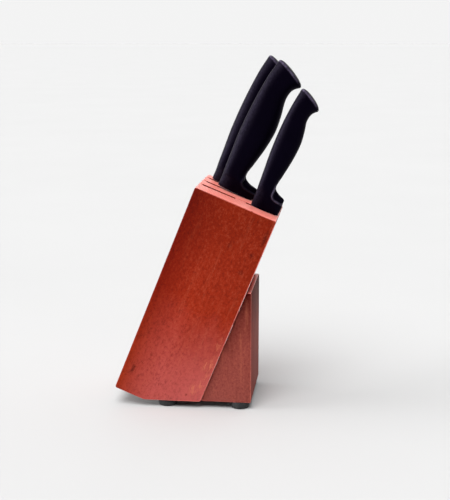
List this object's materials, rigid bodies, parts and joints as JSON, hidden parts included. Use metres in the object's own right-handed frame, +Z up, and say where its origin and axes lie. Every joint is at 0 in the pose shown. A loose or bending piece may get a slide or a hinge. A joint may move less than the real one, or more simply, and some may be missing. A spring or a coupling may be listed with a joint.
{
  "type": "knife block with knives",
  "caption": "Leaning wooden knife block on a wedge support, with moulded-handle kitchen knives standing in its slots and one slot left empty.",
  "frame": {"origin": "middle of the whole set's footprint, on the surface it stands on", "axes": "+Z up, +X the way the block leans, -Y the side with the empty slot"},
  "size_m": [0.194, 0.09, 0.3387],
  "materials": {
    "stained_wood": "mahogany-red stain under a thin satin lacquer, fine mottled grain",
    "spacer_wood": "the same red stain, thinner, on narrow spacer strips",
    "wedge_wood": "browner stain with straight upright grain, satin",
    "dowel_wood": "plain beech, unfinished",
    "handle_plastic": "black moulded plastic with a fine matte texture",
    "blade_steel": "stainless steel, ground and brushed across the blade",
    "screw_steel": "zinc-plated steel",
    "foot_rubber": "black moulded rubber, matte"
  },
  "bodies": {
    "block": {"board_front": "stained_wood", "board_middle_front": "stained_wood", "board_middle_back": "stained_wood", "board_back": "stained_wood", "spacer_front_left": "spacer_wood", "spacer_front_middle": "spacer_wood", "spacer_front_right": "spacer_wood", "spacer_centre_left": "spacer_wood", "spacer_centre_right": "spacer_wood", "spacer_back_left": "spacer_wood", "spacer_back_right": "spacer_wood", "support_wedge": "wedge_wood", "dowel_lower_front": "dowel_wood", "dowel_upper_front": "dowel_wood", "dowel_lower_back": "dowel_wood", "dowel_upper_back": "dowel_wood", "foot_front_left": "foot_rubber", "foot_front_right": "foot_rubber", "foot_back_left": "foot_rubber", "foot_back_right": "foot_rubber", "foot_screw_front_left": "screw_steel", "foot_screw_front_right": "screw_steel", "foot_screw_back_left": "screw_steel", "foot_screw_back_right": "screw_steel"},
    "utility_knife": {"utility_knife_handle": "handle_plastic", "utility_knife_blade": "blade_steel"},
    "chef_knife": {"chef_knife_handle": "handle_plastic", "chef_knife_blade": "blade_steel"},
    "slicing_knife": {"slicing_knife_handle": "handle_plastic", "slicing_knife_blade": "blade_steel"}
  },
  "joints": [
    {"name": "utility_knife_draw", "type": "slide", "parent": "block", "child": "utility_knife", "axis": [0.3746, 0, 0.9272], "range_m": [0, 0.15]},
    {"name": "chef_knife_draw", "type": "slide", "parent": "block", "child": "chef_knife", "axis": [0.4163, 0, 0.9092], "range_m": [0, 0.21]},
    {"name": "slicing_knife_draw", "type": "slide", "parent": "block", "child": "slicing_knife", "axis": [0.4003, 0, 0.9164], "range_m": [0, 0.21]}
  ]
}
